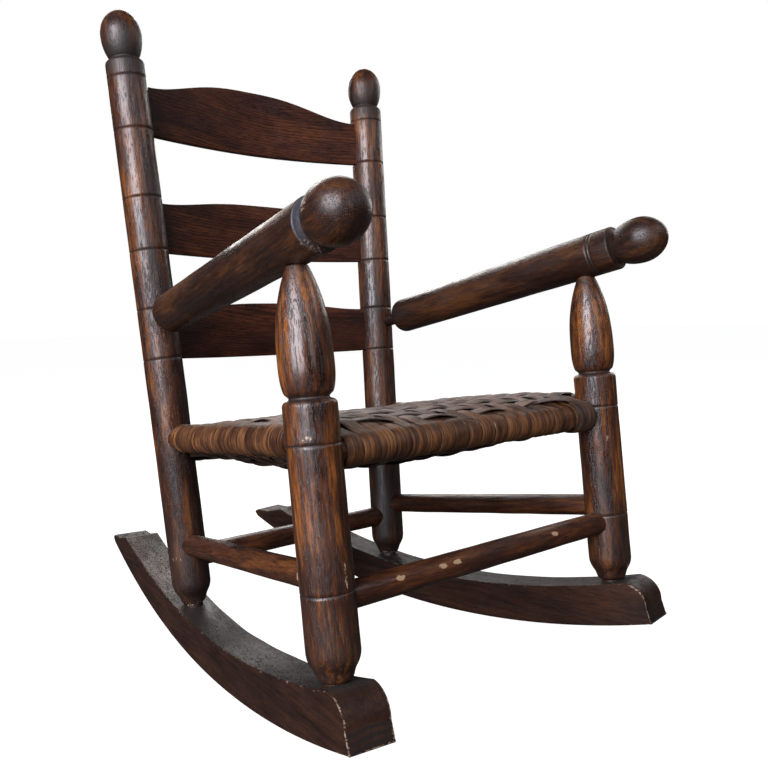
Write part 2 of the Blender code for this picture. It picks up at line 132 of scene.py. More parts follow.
# Seat.
STRIP_THICK = 0.0011
STRIP_GAP = 0.0006  # between neighbours in the weave
WRAP_GAP = 0.0002  # between neighbours round a rail
STRIP_STEP = 0.0024  # between the points of a strip's path across the weave
STRIP_ARCH = 0.0011  # how far a strip's middle stands over its edges
WEAVE_LIFT = 0.0019  # how far a strip rises over its mean height where it passes over two others
WARPS = 19
SHORT_WARPS = 2  # at each side, these run from the front rail into the side
WEFT_PITCH = 0.0158
POST_GAP = 0.0015  # from a post or rail to the nearest side-to-side strip
SEAT_CROWN = 0.0100  # how far the top layer's middle stands over its rails
SEAT_SAG = 0.0125  # and how far the bottom layer's hangs under them
UNDER_WRAP = 0.25  # how warm the underside's strips are, as a share of the wraps
UNDER_SHADE = 0.35  # painted shade: how dark they are


# Points and axes from the frame.


def mesh_points(mesh):
    points = np.empty(len(mesh.vertices) * 3, np.float32)
    mesh.vertices.foreach_get("co", points)
    return points.reshape(-1, 3).astype(float)


def node_points(name):
    return np.unique(np.round(mesh_points(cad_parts[name].data), 6), axis=0)


def axis_of(name, towards):
    """Start, direction and length of a turned node's axis. It runs towards the given direction."""
    points = node_points(name)
    middle = points.mean(axis=0)
    way = np.linalg.svd(points - middle, full_matrices=False)[2][0]
    way = way * np.sign(way @ np.array(towards, float))
    for _ in range(4):
        run = (points - middle) @ way
        low = points[run < run.min() + 0.0004].mean(axis=0)
        high = points[run > run.max() - 0.0004].mean(axis=0)
        way = (high - low) / np.linalg.norm(high - low)
    return low, way, np.linalg.norm(high - low)


def post_axis(name):
    """As axis_of, from the post's foot."""
    low, way, length = axis_of(name, (0, 0, 1))
    return low + way * FOOT_TENON, way, length - FOOT_TENON


POSTS = {name: post_axis(name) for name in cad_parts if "_post_" in name}


# Meshes.


def solid_volume(mesh):
    """The signed volume inside a mesh: below zero when its faces point inwards."""
    mesh.calc_loop_triangles()
    corners = np.empty(len(mesh.loop_triangles) * 3, np.int32)
    mesh.loop_triangles.foreach_get("vertices", corners)
    a, b, c = mesh_points(mesh)[corners.reshape(-1, 3)].transpose(1, 0, 2)
    return float((a * np.cross(b, c)).sum() / 6)


def placed(name, data):
    """A new object in the scene."""
    obj = bpy.data.objects.new(name, data)
    bpy.context.scene.collection.objects.link(obj)
    return obj


def stand_in(piece, node):
    """Puts a piece in the place of a CAD node."""
    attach(piece, "root")
    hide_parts(node)


def skin(name, rings, grain, marks, material, closed=False):
    """A mesh over rings of points. The arrays are rings x points x 3. closed joins the last ring to the first."""
    count, size = rings.shape[:2]
    index = np.arange(count * size).reshape(count, size)
    low, high = (index, np.roll(index, -1, axis=0)) if closed else (index[:-1], index[1:])
    quads = np.stack([low, np.roll(low, -1, axis=1), np.roll(high, -1, axis=1), high], axis=-1)
    faces = [tuple(face) for face in quads.reshape(-1, 4).tolist()]
    if not closed:
        faces += [tuple(index[0][::-1].tolist()), tuple(index[-1].tolist())]
    mesh = bpy.data.meshes.new(name)
    mesh.from_pydata(rings.reshape(-1, 3).tolist(), [], faces)
    mesh.validate()
    if solid_volume(mesh) < 0:
        mesh.flip_normals()
    for title, values in (("grain", grain), ("marks", marks)):
        attribute = mesh.attributes.new(title, "FLOAT_VECTOR", "POINT")
        attribute.data.foreach_set("vector", np.ascontiguousarray(values.reshape(-1), np.float32))
    mesh.shade_smooth()
    mesh.set_sharp_from_angle(angle=math.radians(50))
    mesh.materials.append(material)
    return placed(name, mesh)


def lumps(seed, around, along, size, waves=7):
    """A smooth, small unevenness over a turned surface: a few waves with seeded phases."""
    draw = np.random.default_rng(seed)
    total = np.zeros(np.broadcast(around, along).shape)
    for _ in range(waves):
        turns = draw.integers(1, 6)
        pitch = draw.uniform(20, 150)
        phase = draw.uniform(0, 2 * math.pi)
        total += np.sin(turns * around + pitch * along + phase)
    return total * size / waves


def ease(value):
    """0 to 1, smoothly."""
    value = np.clip(value, 0.0, 1.0)
    return value * value * (3 - 2 * value)


# Turned profiles are lists of (radius, height), from the bottom up. A third value marks a scored line.


def fillet(radius, height, size, steps=8):
    """A rounded outer corner that ends at this height."""
    angles = np.linspace(0, math.pi / 2, steps + 1)
    return [(radius - size + size * math.cos(a), height - size + size * math.sin(a)) for a in angles]


def egg(neck, widest, base, length, steps=34):
    """An egg that grows from a neck and closes at its tip."""
    low = length * EGG_WIDEST
    reach = low / math.sqrt(1 - (neck / widest) ** 2)
    points = []
    pole = math.pi / 2
    angles = np.linspace(-math.acos(neck / widest), pole - 0.32, steps + 1)
    for angle in [*angles, *np.linspace(pole - 0.31, pole - 0.02, 22)]:
        rise = reach if angle < 0 else length - low
        points.append((widest * math.cos(angle), base + low + rise * math.sin(angle)))
    return points


def curve_through(points, steps=5):
    """A smooth curve through profile points, ends included."""
    points = [points[0], *points, points[-1]]
    made = []
    for a, b, c, d in zip(points, points[1:], points[2:], points[3:]):
        for step in range(steps):
            t = step / steps
            spot = [q + (r - p) * t / 2 for p, q, r in zip(a, b, c)]
            for i, (p, q, r, s) in enumerate(zip(a, b, c, d)):
                spot[i] += (p - 2.5 * q + 2 * r - s / 2) * t**2 + (3 * q - p - 3 * r + s) / 2 * t**3
            made.append(tuple(spot))
    return [*made, points[-1]]


def tapered_foot(radius, neck):
    curve = [
        (neck, FOOT_TAPER * 0.12),
        (neck + 0.0032, FOOT_TAPER * 0.22),
        (radius - 0.0052, FOOT_TAPER * 0.48),
        (radius - 0.0022, FOOT_TAPER * 0.70),
        (radius - 0.0006, FOOT_TAPER * 0.88),
        (radius, FOOT_TAPER * 1.05),
    ]
    return [(neck * 0.98, -0.0080), (neck, 0.0), *curve_through(curve)]


def score(profile, height):
    """Cuts a V-shaped line round a straight stretch of a profile."""
    made = []
    for low, high in zip(profile, profile[1:]):
        made.append(low)
        if low[1] < height <= high[1]:
            radius = low[0] + (high[0] - low[0]) * (height - low[1]) / (high[1] - low[1])
            for offset, share in ((-1, 0), (-0.5, 0.6), (0, 1), (0.5, 0.6), (1, 0)):
                made.append((radius - SCORE_DEPTH * share, height + SCORE_HALF * offset, 1 if share else 0.25))
    return [*made, profile[-1]]


def spaced(profile):
    """Adds rings so that none is further than RING_STEP from the next."""
    made = []
    for low, high in zip(profile, profile[1:]):
        low = (*low, 0)[:3]
        high = (*high, 0)[:3]
        count = max(1, math.ceil((high[1] - low[1]) / RING_STEP))
        for step in range(count):
            made.append([a + (b - a) * step / count for a, b in zip(low, high)])
        if count > 1:
            for ring in made[1 - count :]:
                ring[2] = 0
    made.append([*profile[-1], 0][:3])
    return np.array(made)


def turned(node, start, way, profile, material, seed, painted_shade=(), spots=(), painted_sheen=None, lathe_mark=False):
    """Spins a profile round a node's axis. The wood's rings are centred off the piece, at a seeded place.

    grime is (height, reach, strength) of a band of painted shade. spots is (height, direction it faces, half
    length, half width, strength).
    rubbed is (low, high, direction it faces) of a band of painted reflection. lathe_mark leaves the whorl of a
    lathe's centre on the far end.
    """
    rings = spaced(profile)
    radius, height, line = rings.T
    around = np.linspace(0, 2 * math.pi, SEGMENTS, endpoint=False)
    side = np.cross(way, (0, 0, 1) if abs(way[2]) < 0.7 else (1, 0, 0))
    side /= np.linalg.norm(side)
    up = np.cross(way, side)
    draw = np.random.default_rng(seed + 500)
    out = radius[:, None] + lumps(seed, around[None], height[:, None], 0.00024) * (radius > 0.004)[:, None]
    x = out * np.cos(around)
    y = out * np.sin(around)
    slip = 0.00030 * np.sin(around[None] + height[:, None] * 40) * (line > 0)[:, None]
    z = height[:, None] + slip
    points = start + x[..., None] * side + y[..., None] * up + z[..., None] * way
    turn = draw.uniform(0, 2 * math.pi)
    heart = draw.uniform(0.020, 0.045)
    lean = draw.uniform(-0.05, 0.05)
    grain = np.stack(
        [
            x * math.cos(turn) - y * math.sin(turn) + heart + lean * z,
            x * math.sin(turn) + y * math.cos(turn),
            z + draw.uniform(0, 3),
        ],
        axis=-1,
    )
    marks = np.zeros_like(points)
    faded = 0.78 + 0.22 * np.sin(2 * around[None] + height[:, None] * 60)
    marks[..., 0] = line[:, None] * faded
    marks[..., 2] = ((line > 0) & (line < 0.5))[:, None] * 0.33
    # Painted shade: darker round each given height, in necks and crevices, under finials and eggs, near tips and
    # towards the feet.
    for place, reach, strength in painted_shade:
        near = np.clip(1 - np.abs(height - place) / reach, 0, 1)
        marks[..., 0] = np.maximum(marks[..., 0], (near * strength)[:, None])
    for place, facing, half_length, half_width, strength in spots:
        facing = np.array(facing, float)
        middle = math.atan2(facing @ up, facing @ side)
        apart = (around - middle + math.pi) % (2 * math.pi) - math.pi
        ring = np.interp(place, height, radius)
        reach = np.hypot((height[:, None] - place) / half_length, apart[None] * ring / half_width)
        marks[..., 2] = np.maximum(marks[..., 2], strength * np.clip(1.6 - reach, 0, 1) * (reach < 1.5))
    # Painted reflection: a band, paler where it faces the given direction.
    if painted_sheen:
        low, high, facing = painted_sheen
        within = ((height > low) & (height < high))[:, None]
        marks[..., 1] = within * (0.5 + 0.5 * np.cos(around - math.atan2(facing @ up, facing @ side)))
    if lathe_mark:
        end = ((radius < 0.0062) & (height > height[-1] - 0.003))[:, None]
        whorl = 0.5 + 0.5 * np.sin(radius[:, None] * 2700 + around[None] + 0.9 * np.sin(2 * around[None]))
        marks[..., 0] = np.where(end, 0.80 * ease(1.6 * whorl - 0.3), marks[..., 0])
        marks[..., 2] = np.where(end, 0.36 * ease(1.6 - 1.9 * whorl), marks[..., 2])
    stand_in(skin("turned_" + node, points, grain, marks, material), node)


# Nodes of a material.


class Tree:
    """Adds shader nodes and joins them."""

    def __init__(self, name):
        self.material = bpy.data.materials.new(name)
        self.material.use_nodes = True
        self.nodes = self.material.node_tree.nodes
        self.links = self.material.node_tree.links
        self.shader = self.nodes["Principled BSDF"]

    def put(self, socket, value):
        if isinstance(value, bpy.types.NodeSocket):
            self.links.new(value, socket)
        else:
            socket.default_value = value

    def attribute(self, name):
        node = self.nodes.new("ShaderNodeAttribute")
        node.attribute_name = name
        return node.outputs["Vector"]

    def parts(self, vector):
        node = self.nodes.new("ShaderNodeSeparateXYZ")
        self.put(node.inputs[0], vector)
        return node.outputs[0], node.outputs[1], node.outputs[2]

    def vector(self, x, y, z):
        node = self.nodes.new("ShaderNodeCombineXYZ")
        for socket, value in zip(node.inputs, (x, y, z)):
            self.put(socket, value)
        return node.outputs[0]

    def math(self, operation, a, b=0.0, clamp=False):
        node = self.nodes.new("ShaderNodeMath")
        node.operation = operation
        node.use_clamp = clamp
        self.put(node.inputs[0], a)
        self.put(node.inputs[1], b)
        return node.outputs[0]

    def times(self, a, b, clamp=False):
        return self.math("MULTIPLY", a, b, clamp)

    def plus(self, a, b, clamp=False):
        return self.math("ADD", a, b, clamp)

    def minus(self, a, b, clamp=False):
        return self.math("SUBTRACT", a, b, clamp)

    def vector_math(self, operation, a, b):
        node = self.nodes.new("ShaderNodeVectorMath")
        node.operation = operation
        self.put(node.inputs[0], a)
        self.put(node.inputs[1], b)
        return node.outputs[0]

    def noise(self, vector, scale, detail=3.0, rough=0.55):
        node = self.nodes.new("ShaderNodeTexNoise")
        self.put(node.inputs["Vector"], vector)
        node.inputs["Scale"].default_value = scale
        node.inputs["Detail"].default_value = detail
        node.inputs["Roughness"].default_value = rough
        return node.outputs["Fac"]

    def fibre(self, vector, across, along, rough=0.55, detail=3.0):
        """Noise with one scale across the grain and another along it."""
        return self.noise(self.vector_math("MULTIPLY", vector, (across, across, along)), 1.0, detail, rough)

    def ramp(self, value, stops):
        """stops is a list of (position, colour or grey)."""
        node = self.nodes.new("ShaderNodeValToRGB")
        elements = node.color_ramp.elements
        while len(elements) < len(stops):
            elements.new(0.5)
        for element, (position, colour) in zip(elements, stops):
            element.position = position
            element.color = (*colour, 1) if isinstance(colour, tuple) else (colour, colour, colour, 1)
        self.put(node.inputs[0], value)
        return node.outputs[0]

    def mix(self, share, a, b, blend="MIX"):
        node = self.nodes.new("ShaderNodeMix")
        node.data_type = "RGBA"
        node.blend_type = blend
        node.clamp_factor = True
        self.put(node.inputs[0], share)
        for socket, value in ((node.inputs[6], a), (node.inputs[7], b)):
            self.put(socket, (*value, 1) if isinstance(value, tuple) else value)
        return node.outputs[2]

    def bump(self, height, strength, distance, normal=None):
        node = self.nodes.new("ShaderNodeBump")
        node.inputs["Strength"].default_value = strength
        node.inputs["Distance"].default_value = distance
        self.put(node.inputs["Height"], height)
        if normal is not None:
            self.put(node.inputs["Normal"], normal)
        return node.outputs[0]

    def finish(self, colour, roughness, normal, shine):
        for title, value in (("Base Color", colour), ("Roughness", roughness), ("Normal", normal)):
            self.put(self.shader.inputs[title], value)
        self.shader.inputs["Specular IOR Level"].default_value = shine
        return self.material


def oak(name, stain, shade, ring, figure, gloss, shine, worn=(0.33, 0.24, 0.165), painted_sheen=(0.0235, 0.0225, 0.0195)):
    """Open-pored oak under stain and varnish. The stain is dark in the open part of each ring and thin on the rest.

    stain is three colours, and shade moves them towards the first. ring is the distance between the tree's rings,
    figure how strongly they show, and gloss the varnish's roughness. worn is a chip's colour, and rubbed the colour
    of a painted sheen laid where marks Y says.
    """
    dark, middle, amber = stain
    tree = Tree(name)
    grain = tree.attribute("grain")
    line, sheen_mask, chip = tree.parts(tree.attribute("marks"))

    sway = tree.fibre(grain, 11, 2.6, detail=2.0)
    other = tree.fibre(tree.vector_math("ADD", grain, (5, 2, 1)), 11, 2.6, detail=2.0)
    drift = [tree.times(tree.minus(value, 0.5), 0.050) for value in (sway, other)]
    x, y, _ = tree.parts(tree.vector_math("ADD", grain, tree.vector(*drift, 0.0)))
    distance = tree.math("SQRT", tree.plus(tree.times(x, x), tree.times(y, y)))
    ragged = tree.times(tree.fibre(grain, 150, 9), 1.6)
    rings = tree.math("FRACT", tree.plus(tree.math("DIVIDE", distance, ring), ragged))
    porous = tree.ramp(rings, [(0.0, 0.7), (0.10, 1.0), (0.30, 0.25), (0.55, 0.0), (0.88, 0.0), (1.0, 0.7)])
    porous = tree.times(porous, figure)

    broad = tree.fibre(grain, 42, 11)
    streaks = tree.fibre(grain, 290, 34, 0.6)
    fibres = tree.fibre(grain, 900, 95, 0.6)
    flecks = tree.fibre(grain, 1150, 120, 0.5, 2.0)
    tone = tree.plus(tree.times(broad, 0.52), tree.times(streaks, 0.26))
    tone = tree.plus(tone, tree.times(fibres, 0.22))
    tone = tree.minus(tone, tree.times(porous, 0.09))
    colour = tree.ramp(tone, [(0.37 + shade, dark), (0.48 + shade, middle), (0.62 + shade, amber)])
    limit = tree.minus(0.57, tree.times(porous, 0.13))
    pore = tree.times(tree.minus(flecks, limit), 9.0, clamp=True)
    colour = tree.mix(tree.times(pore, 0.62), colour, tuple(0.45 * c for c in dark))

    speckle = tree.noise(grain, 240, 3.0, 0.65)
    # Scored lines, the streaks on a rocker's front face and the painted shade of marks X all take the near-black.
    colour = tree.mix(tree.times(line, 0.95), colour, SCORE_AND_SHADE_DARK)
    # Painted sheen and painted reflection: a veil of the last colour where marks Y says, on a rocker's top and on
    # the left arm's face.
    sheen_share = tree.times(sheen_mask, tree.ramp(speckle, [(0.35, 0.55), (0.65, 1.0)]))
    colour = tree.mix(sheen_share, colour, painted_sheen)
    grit = tree.fibre(grain, 520, 210)
    chips = tree.times(tree.minus(tree.plus(grit, chip), 1.0), 9.0, clamp=True)
    colour = tree.mix(chips, colour, worn)

    cloud = tree.fibre(grain, 55, 22, 0.6)
    rough = tree.ramp(cloud, [(0.36, gloss - 0.06), (0.64, gloss + 0.11)])
    dull = tree.times(tree.math("MAXIMUM", line, tree.math("MAXIMUM", pore, chips)), 0.28)
    rough = tree.plus(rough, dull, clamp=True)
    height = tree.minus(tree.times(fibres, 0.35), tree.times(pore, 0.8))
    normal = tree.bump(height, 0.65, 0.00022)
    dents = tree.fibre(grain, 120, 40, 0.6)
    normal = tree.bump(dents, 0.35, 0.0009, normal)
    return tree.finish(colour, rough, normal, shine)


def splint(name, stain, dusty):
    """Flat splints: long fibres, painted shade darkening their edges and the underside's strips, amber where they
    wrap a rail, and dusty grey-brown on top.
    """
    dark, middle, amber = stain
    tree = Tree(name)
    grain = tree.attribute("grain")
    edge, wrap, chip = tree.parts(tree.attribute("marks"))
    fibres = tree.fibre(grain, 980, 26, 0.62)
    bands = tree.fibre(grain, 260, 16, 0.6)
    patches = tree.fibre(grain, 34, 30, 0.6)
    tone = tree.plus(tree.times(fibres, 0.34), tree.times(bands, 0.26))
    tone = tree.plus(tone, tree.times(patches, 0.40))
    warm = tree.ramp(tone, [(0.38, dark), (0.50, middle), (0.64, amber)])
    shadow, glare = (tuple(factor * c for c in dusty) for factor in (0.45, 1.6))
    grey = tree.ramp(tone, [(0.38, shadow), (0.50, dusty), (0.64, glare)])
    colour = tree.mix(wrap, grey, warm)
    colour = tree.mix(1.0, colour, tree.ramp(fibres, [(0.34, 0.50), (0.66, 1.50)]), "MULTIPLY")
    # Painted shade: near-black towards each strip's edges and over the underside's strips.
    colour = tree.mix(tree.times(edge, 0.90), colour, (0.0070, 0.0042, 0.0034))
    broken = tree.fibre(grain, 900, 70, 0.6)
    pale = tree.times(tree.minus(tree.plus(broken, chip), 1.0), 7.0, clamp=True)
    colour = tree.mix(pale, colour, (0.30, 0.22, 0.14))
    rough = tree.ramp(patches, [(0.35, 0.42), (0.65, 0.58)])
    normal = tree.bump(fibres, 0.5, 0.0004)
    normal = tree.bump(bands, 0.4, 0.0006, normal)
    return tree.finish(colour, rough, normal, 0.36)


FRONT_OAK = oak(
    "front_post_oak", ((0.0110, 0.0036, 0.0020), (0.056, 0.0165, 0.0056), (0.235, 0.0800, 0.0155)),
    shade=0.0, ring=0.0075, figure=0.9, gloss=0.25, shine=0.50,
)
BACK_OAK = oak(
    "back_post_oak", ((0.0105, 0.0036, 0.0022), (0.042, 0.0130, 0.0054), (0.165, 0.0570, 0.0130)),
    shade=0.022, ring=0.0075, figure=0.9, gloss=0.28, shine=0.44,
)
BAR_OAK = oak(
    "bar_oak", ((0.0105, 0.0034, 0.0020), (0.042, 0.0125, 0.0050), (0.125, 0.0430, 0.0110)),
    shade=0.0, ring=0.0068, figure=0.5, gloss=0.38, shine=0.32, worn=(0.30, 0.19, 0.11),
)
SLAT_OAK = oak(
    "red_brown_slat_oak", ((0.0115, 0.0030, 0.0018), (0.034, 0.0088, 0.0038), (0.078, 0.0225, 0.0072)),
    shade=0.0, ring=0.0034, figure=1.0, gloss=0.46, shine=0.18,
)
ARM_OAK = oak(
    "arm_oak", ((0.0080, 0.0030, 0.0018), (0.0227, 0.0077, 0.0039), (0.0714, 0.0260, 0.0080)),
    shade=0.012, ring=0.0060, figure=0.4, gloss=0.33, shine=0.38,
    # The last colour is a painted reflection, bluish, for the left arm's face.
    worn=(0.190, 0.125, 0.078), painted_sheen=(0.040, 0.046, 0.062),
)
ROCKER_OAK = oak(
    "worn_rocker_oak", ((0.0070, 0.0030, 0.0020), (0.0189, 0.0072, 0.0043), (0.0377, 0.0148, 0.0075)),
    shade=0.0, ring=0.0070, figure=0.5, gloss=0.48, shine=0.20,
    # The last colour is a painted sheen, grey, for the rockers' tops.
    worn=(0.21, 0.16, 0.115), painted_sheen=(0.0240, 0.0238, 0.0215),
)
SPLINT = splint(
    "aged_ash_splint", ((0.0095, 0.0036, 0.0020), (0.054, 0.0192, 0.0072), (0.190, 0.0780, 0.0235)),
    dusty=(0.160, 0.108, 0.088),
)


# Posts, arms and bars.


def groove(neck, shoulder):
    """The waist between a post's shoulder and the knob above it."""
    return [(neck - NECK_GROOVE, shoulder + NECK_RISE * share) for share in (1 / 3, 2 / 3)]


def back_post_profile(length):
    neck = BACK_RADIUS - NECK_DROP
    base = BACK_SHOULDER + NECK_RISE
    profile = tapered_foot(BACK_RADIUS, BACK_FOOT_NECK)
    profile += fillet(BACK_RADIUS, BACK_SHOULDER, NECK_DROP)
    profile += groove(neck, BACK_SHOULDER)
    profile += egg(neck, FINIAL_RADIUS, base, length - base)
    for height in BACK_SCORES:
        profile = score(profile, height)
    return profile


def front_post_profile(length):
    neck = FRONT_RADIUS - NECK_DROP
    base = FRONT_SHOULDER + NECK_RISE
    height = length - TOP_TENON - base
    profile = tapered_foot(FRONT_RADIUS, FRONT_FOOT_NECK)
    profile += fillet(FRONT_RADIUS, FRONT_SHOULDER, NECK_DROP)
    profile += groove(neck, FRONT_SHOULDER)
    for share in np.linspace(0, BULLET_WIDEST, 14):
        swell = math.sqrt(max(0.0, 1 - (1 - share / BULLET_WIDEST) ** 2))
        profile.append((neck + (BULLET_RADIUS - neck) * swell, base + height * share))
    for share in np.linspace(BULLET_WIDEST, 1, 26)[1:]:
        drop = ((share - BULLET_WIDEST) / (1 - BULLET_WIDEST)) ** 2.6
        profile.append((BULLET_RADIUS - (BULLET_RADIUS - BULLET_TIP) * drop, base + height * share))
    profile += [(TOP_TENON_RADIUS, base + height), (TOP_TENON_RADIUS, length)]
    for place in FRONT_SCORES:
        profile = score(profile, place)
    return profile


def arm_profile(length, start, egg_radius):
    base = length - EGG_LENGTH
    shoulder = base - NECK_RISE
    size = ARM_BACK_FILLET
    profile = [(ARM_TENON_RADIUS, 0.0), (ARM_TENON_RADIUS, start)]
    for angle in np.linspace(0, math.pi / 2, 9):
        profile.append((ARM_BACK_RADIUS - size + size * math.sin(angle), start + size - size * math.cos(angle)))
    profile += fillet(ARM_FRONT_RADIUS, shoulder + 0.0004, ARM_FRONT_FILLET)
    profile += [(ARM_NECK + 0.0002, shoulder + 0.0008), (ARM_NECK - NECK_GROOVE, shoulder + NECK_RISE / 2)]
    return profile + egg(ARM_NECK, egg_radius, base, EGG_LENGTH)


def rod_profile(length, radius):
    return [(radius - 0.0010, 0.0), (radius, 0.0010), (radius, length - 0.0010), (radius - 0.0010, length)]


def radius_of(name, way, start):
    """The widest that a bar's node is, from its axis."""
    points = node_points(name) - start
    return np.linalg.norm(points - np.outer(points @ way, way), axis=1).max()


def make_turned_pieces():
    """The posts, arms, stretchers and seat rails. The bands of painted shade and the spots are as turned() says."""
    seed = 10
    front_left = (-0.62, -0.78, 0)
    for word, side in SIDES.items():
        start, way, length = POSTS["back_post_" + word]
        finial = BACK_SHOULDER + 0.004
        # Painted shade: in the neck, round the finial's lower part, at the foot and fading up from it.
        shade_bands = ((BACK_SHOULDER + 0.001, 0.004, 0.9), (finial, 0.036, 1.0), (0.0, 0.004, 0.9), (0.0, 0.19, 0.62))
        spots = ((0.052, (-0.9, -0.4, 0), 0.005, 0.008, 0.42), (0.004, front_left, 0.003, 0.012, 0.50))
        profile = back_post_profile(length)
        turned("back_post_" + word, start, way, profile, BACK_OAK, seed, shade_bands, spots)
        start, way, length = POSTS["front_post_" + word]
        tip = length - TOP_TENON
        # Painted shade: in the neck, near the bullet's tip under the arm, at the foot and fading up from it.
        shade_bands = ((FRONT_SHOULDER + 0.001, 0.004, 0.9), (tip, 0.026, 0.55), (0.0, 0.004, 0.9), (0.0, 0.14, 0.60))
        if side < 0:
            spots = (
                (0.083, (0.10, -1, 0), 0.013, 0.0025, 0.50),
                (0.186, (-0.75, -0.66, 0), 0.003, 0.006, 0.50),
                (0.019, front_left, 0.016, 0.012, 0.34),
            )
        else:
            spots = (
                (0.150, (-0.60, -0.8, 0), 0.008, 0.004, 0.42),
                (0.018, (0.1, -1, 0), 0.003, 0.002, 0.62),
                (0.090, (-0.45, -0.9, 0), 0.030, 0.003, 0.40),
            )
        profile = front_post_profile(length)
        turned("front_post_" + word, start, way, profile, FRONT_OAK, seed + 1, shade_bands, spots)
        start, way, length = axis_of("arm_" + word, (0, -1, 0))
        back = ARM_BACK_SHOULDER[word] - ARM_TENON_START
        neck = length - EGG_LENGTH - NECK_RISE / 2
        # Painted shade: in the neck, over the egg's near end, and near the back end where the arm meets the post.
        shade_bands = ((neck + 0.001, 0.003, 0.9), (neck + 0.005, 0.016, 0.45), (back, 0.03, 0.35))
        face = neck - NECK_RISE / 2
        # Painted reflection: a bluish band on the left arm's face at its shoulder, facing up and to the left.
        painted_sheen = (face - 0.0002, face + 0.0009, np.array([-0.8, 0, 0.6])) if side < 0 else None
        spots = ()
        if side < 0:
            spots = (
                (neck - 0.002, (-0.5, -0.3, -0.8), 0.003, 0.015, 0.45),
                (neck + 0.018, (-0.9, 0, 0.3), 0.009, 0.010, 0.50),
                (neck + 0.012, (-0.4, 0, -0.8), 0.007, 0.008, 0.47),
                (neck + 0.026, (-0.2, 0, -0.9), 0.006, 0.006, 0.44),
            )
        profile = arm_profile(length, back, EGG_RADIUS[word])
        if side > 0:
            for inset in ARM_LINES:
                profile = score(profile, face - inset)
        turned("arm_" + word, start, way, profile, ARM_OAK, seed + 2, shade_bands, spots, painted_sheen, side < 0)
        seed += 10
    bars = [name for name in sorted(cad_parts) if name.startswith(("stretcher_", "seat_rail_"))]
    for name in bars:
        towards = (1, 0, 0) if name.endswith(("front", "back")) else (0, -1, 0)
        start, way, length = axis_of(name, towards)
        radius = radius_of(name, way, start)
        spots = ()
        if name == "stretcher_front":
            facing = (-0.4, -0.75, 0.45)
            spots = tuple((length * share, facing, 0.0052, 0.0024, 0.80) for share in (0.16, 0.30, 0.35, 0.74))
        if name == "stretcher_left":
            spots = ((length - 0.016, (-1, -0.3, 0.1), 0.0020, 0.0080, 0.60),)
        turned(name, start, way, rod_profile(length, radius), BAR_OAK, seed, (), spots)
        seed += 1


# Boards.


def arc_points(centre, radius, first, last, steps=22):
    """Points round a centre, anticlockwise from one angle to another."""
    angles = np.linspace(first, last, steps)
    return [(centre[0] + radius * math.cos(t), centre[1] + radius * math.sin(t)) for t in angles]


def board_section(width, low, high, corners, side_steps=6):
    """A rounded rectangle's (across, height) points, anticlockwise from its bottom right. corners is four radii."""
    half = width / 2
    arcs = []
    for turn, (right, top, radius) in enumerate(zip((1, 1, -1, -1), (0, 1, 1, 0), corners)):
        centre = (right * (half - radius), high - radius if top else low + radius)
        first = (turn - 1) * math.pi / 2
        arcs.append(arc_points(centre, radius, first, first + math.pi / 2, 5))
    points = []
    for arc, following in zip(arcs, arcs[1:] + arcs[:1]):
        points += arc
        end, begin = np.array(arc[-1]), np.array(following[0])
        points += [tuple(end + (begin - end) * step / side_steps) for step in range(1, side_steps)]
    return np.array(points)


def post_place(name, height):
    start, way, _ = POSTS[name]
    return start + way * height


def make_slat(name, low, high, crest, seed):
    """A bowed board. Its grain runs across the chair and follows the bow."""
    way = POSTS["back_post_right"][1]
    up = np.array([0, way[1], way[2]]) / math.hypot(way[1], way[2])
    back = np.array([0, up[2], -up[1]])
    half = post_place("back_post_right", high)[0] - SLAT_INSET
    clear = half + SLAT_INSET - BACK_RADIUS
    corners = (0.0012, 0.0019, 0.0017, 0.0012)
    rings, grains = [], []
    for across in np.linspace(-1, 1, 121):
        x = across * half
        span = min(1.0, abs(x) / clear) ** CREST_BREADTH
        top = high + crest * (1 + math.cos(math.pi * span)) / 2
        section = board_section(SLAT_THICK, low, top, corners)
        wave = 0.0004 * math.sin(31 * x + seed)
        ring = []
        for thick, height in section:
            spot = post_place("back_post_right", height)
            bow = SLAT_BOW * (1 - across**2) + thick + wave
            ring.append(np.array([x, spot[1], spot[2]]) + back * bow)
        rings.append(ring)
        grains.append([(0.030 + height - low + 0.05 * x, 0.012 + thick, x + seed) for thick, height in section])
    rings = np.array(rings)
    slat = skin("bowed_" + name, rings, np.array(grains), np.zeros_like(rings), SLAT_OAK)
    stand_in(slat, name)


def running_edge(s):
    radius = ROCKER_FRONT_RADIUS if s > ROCKER_LOW_S else ROCKER_REAR_RADIUS
    return radius - math.sqrt(radius**2 - (s - ROCKER_LOW_S) ** 2)


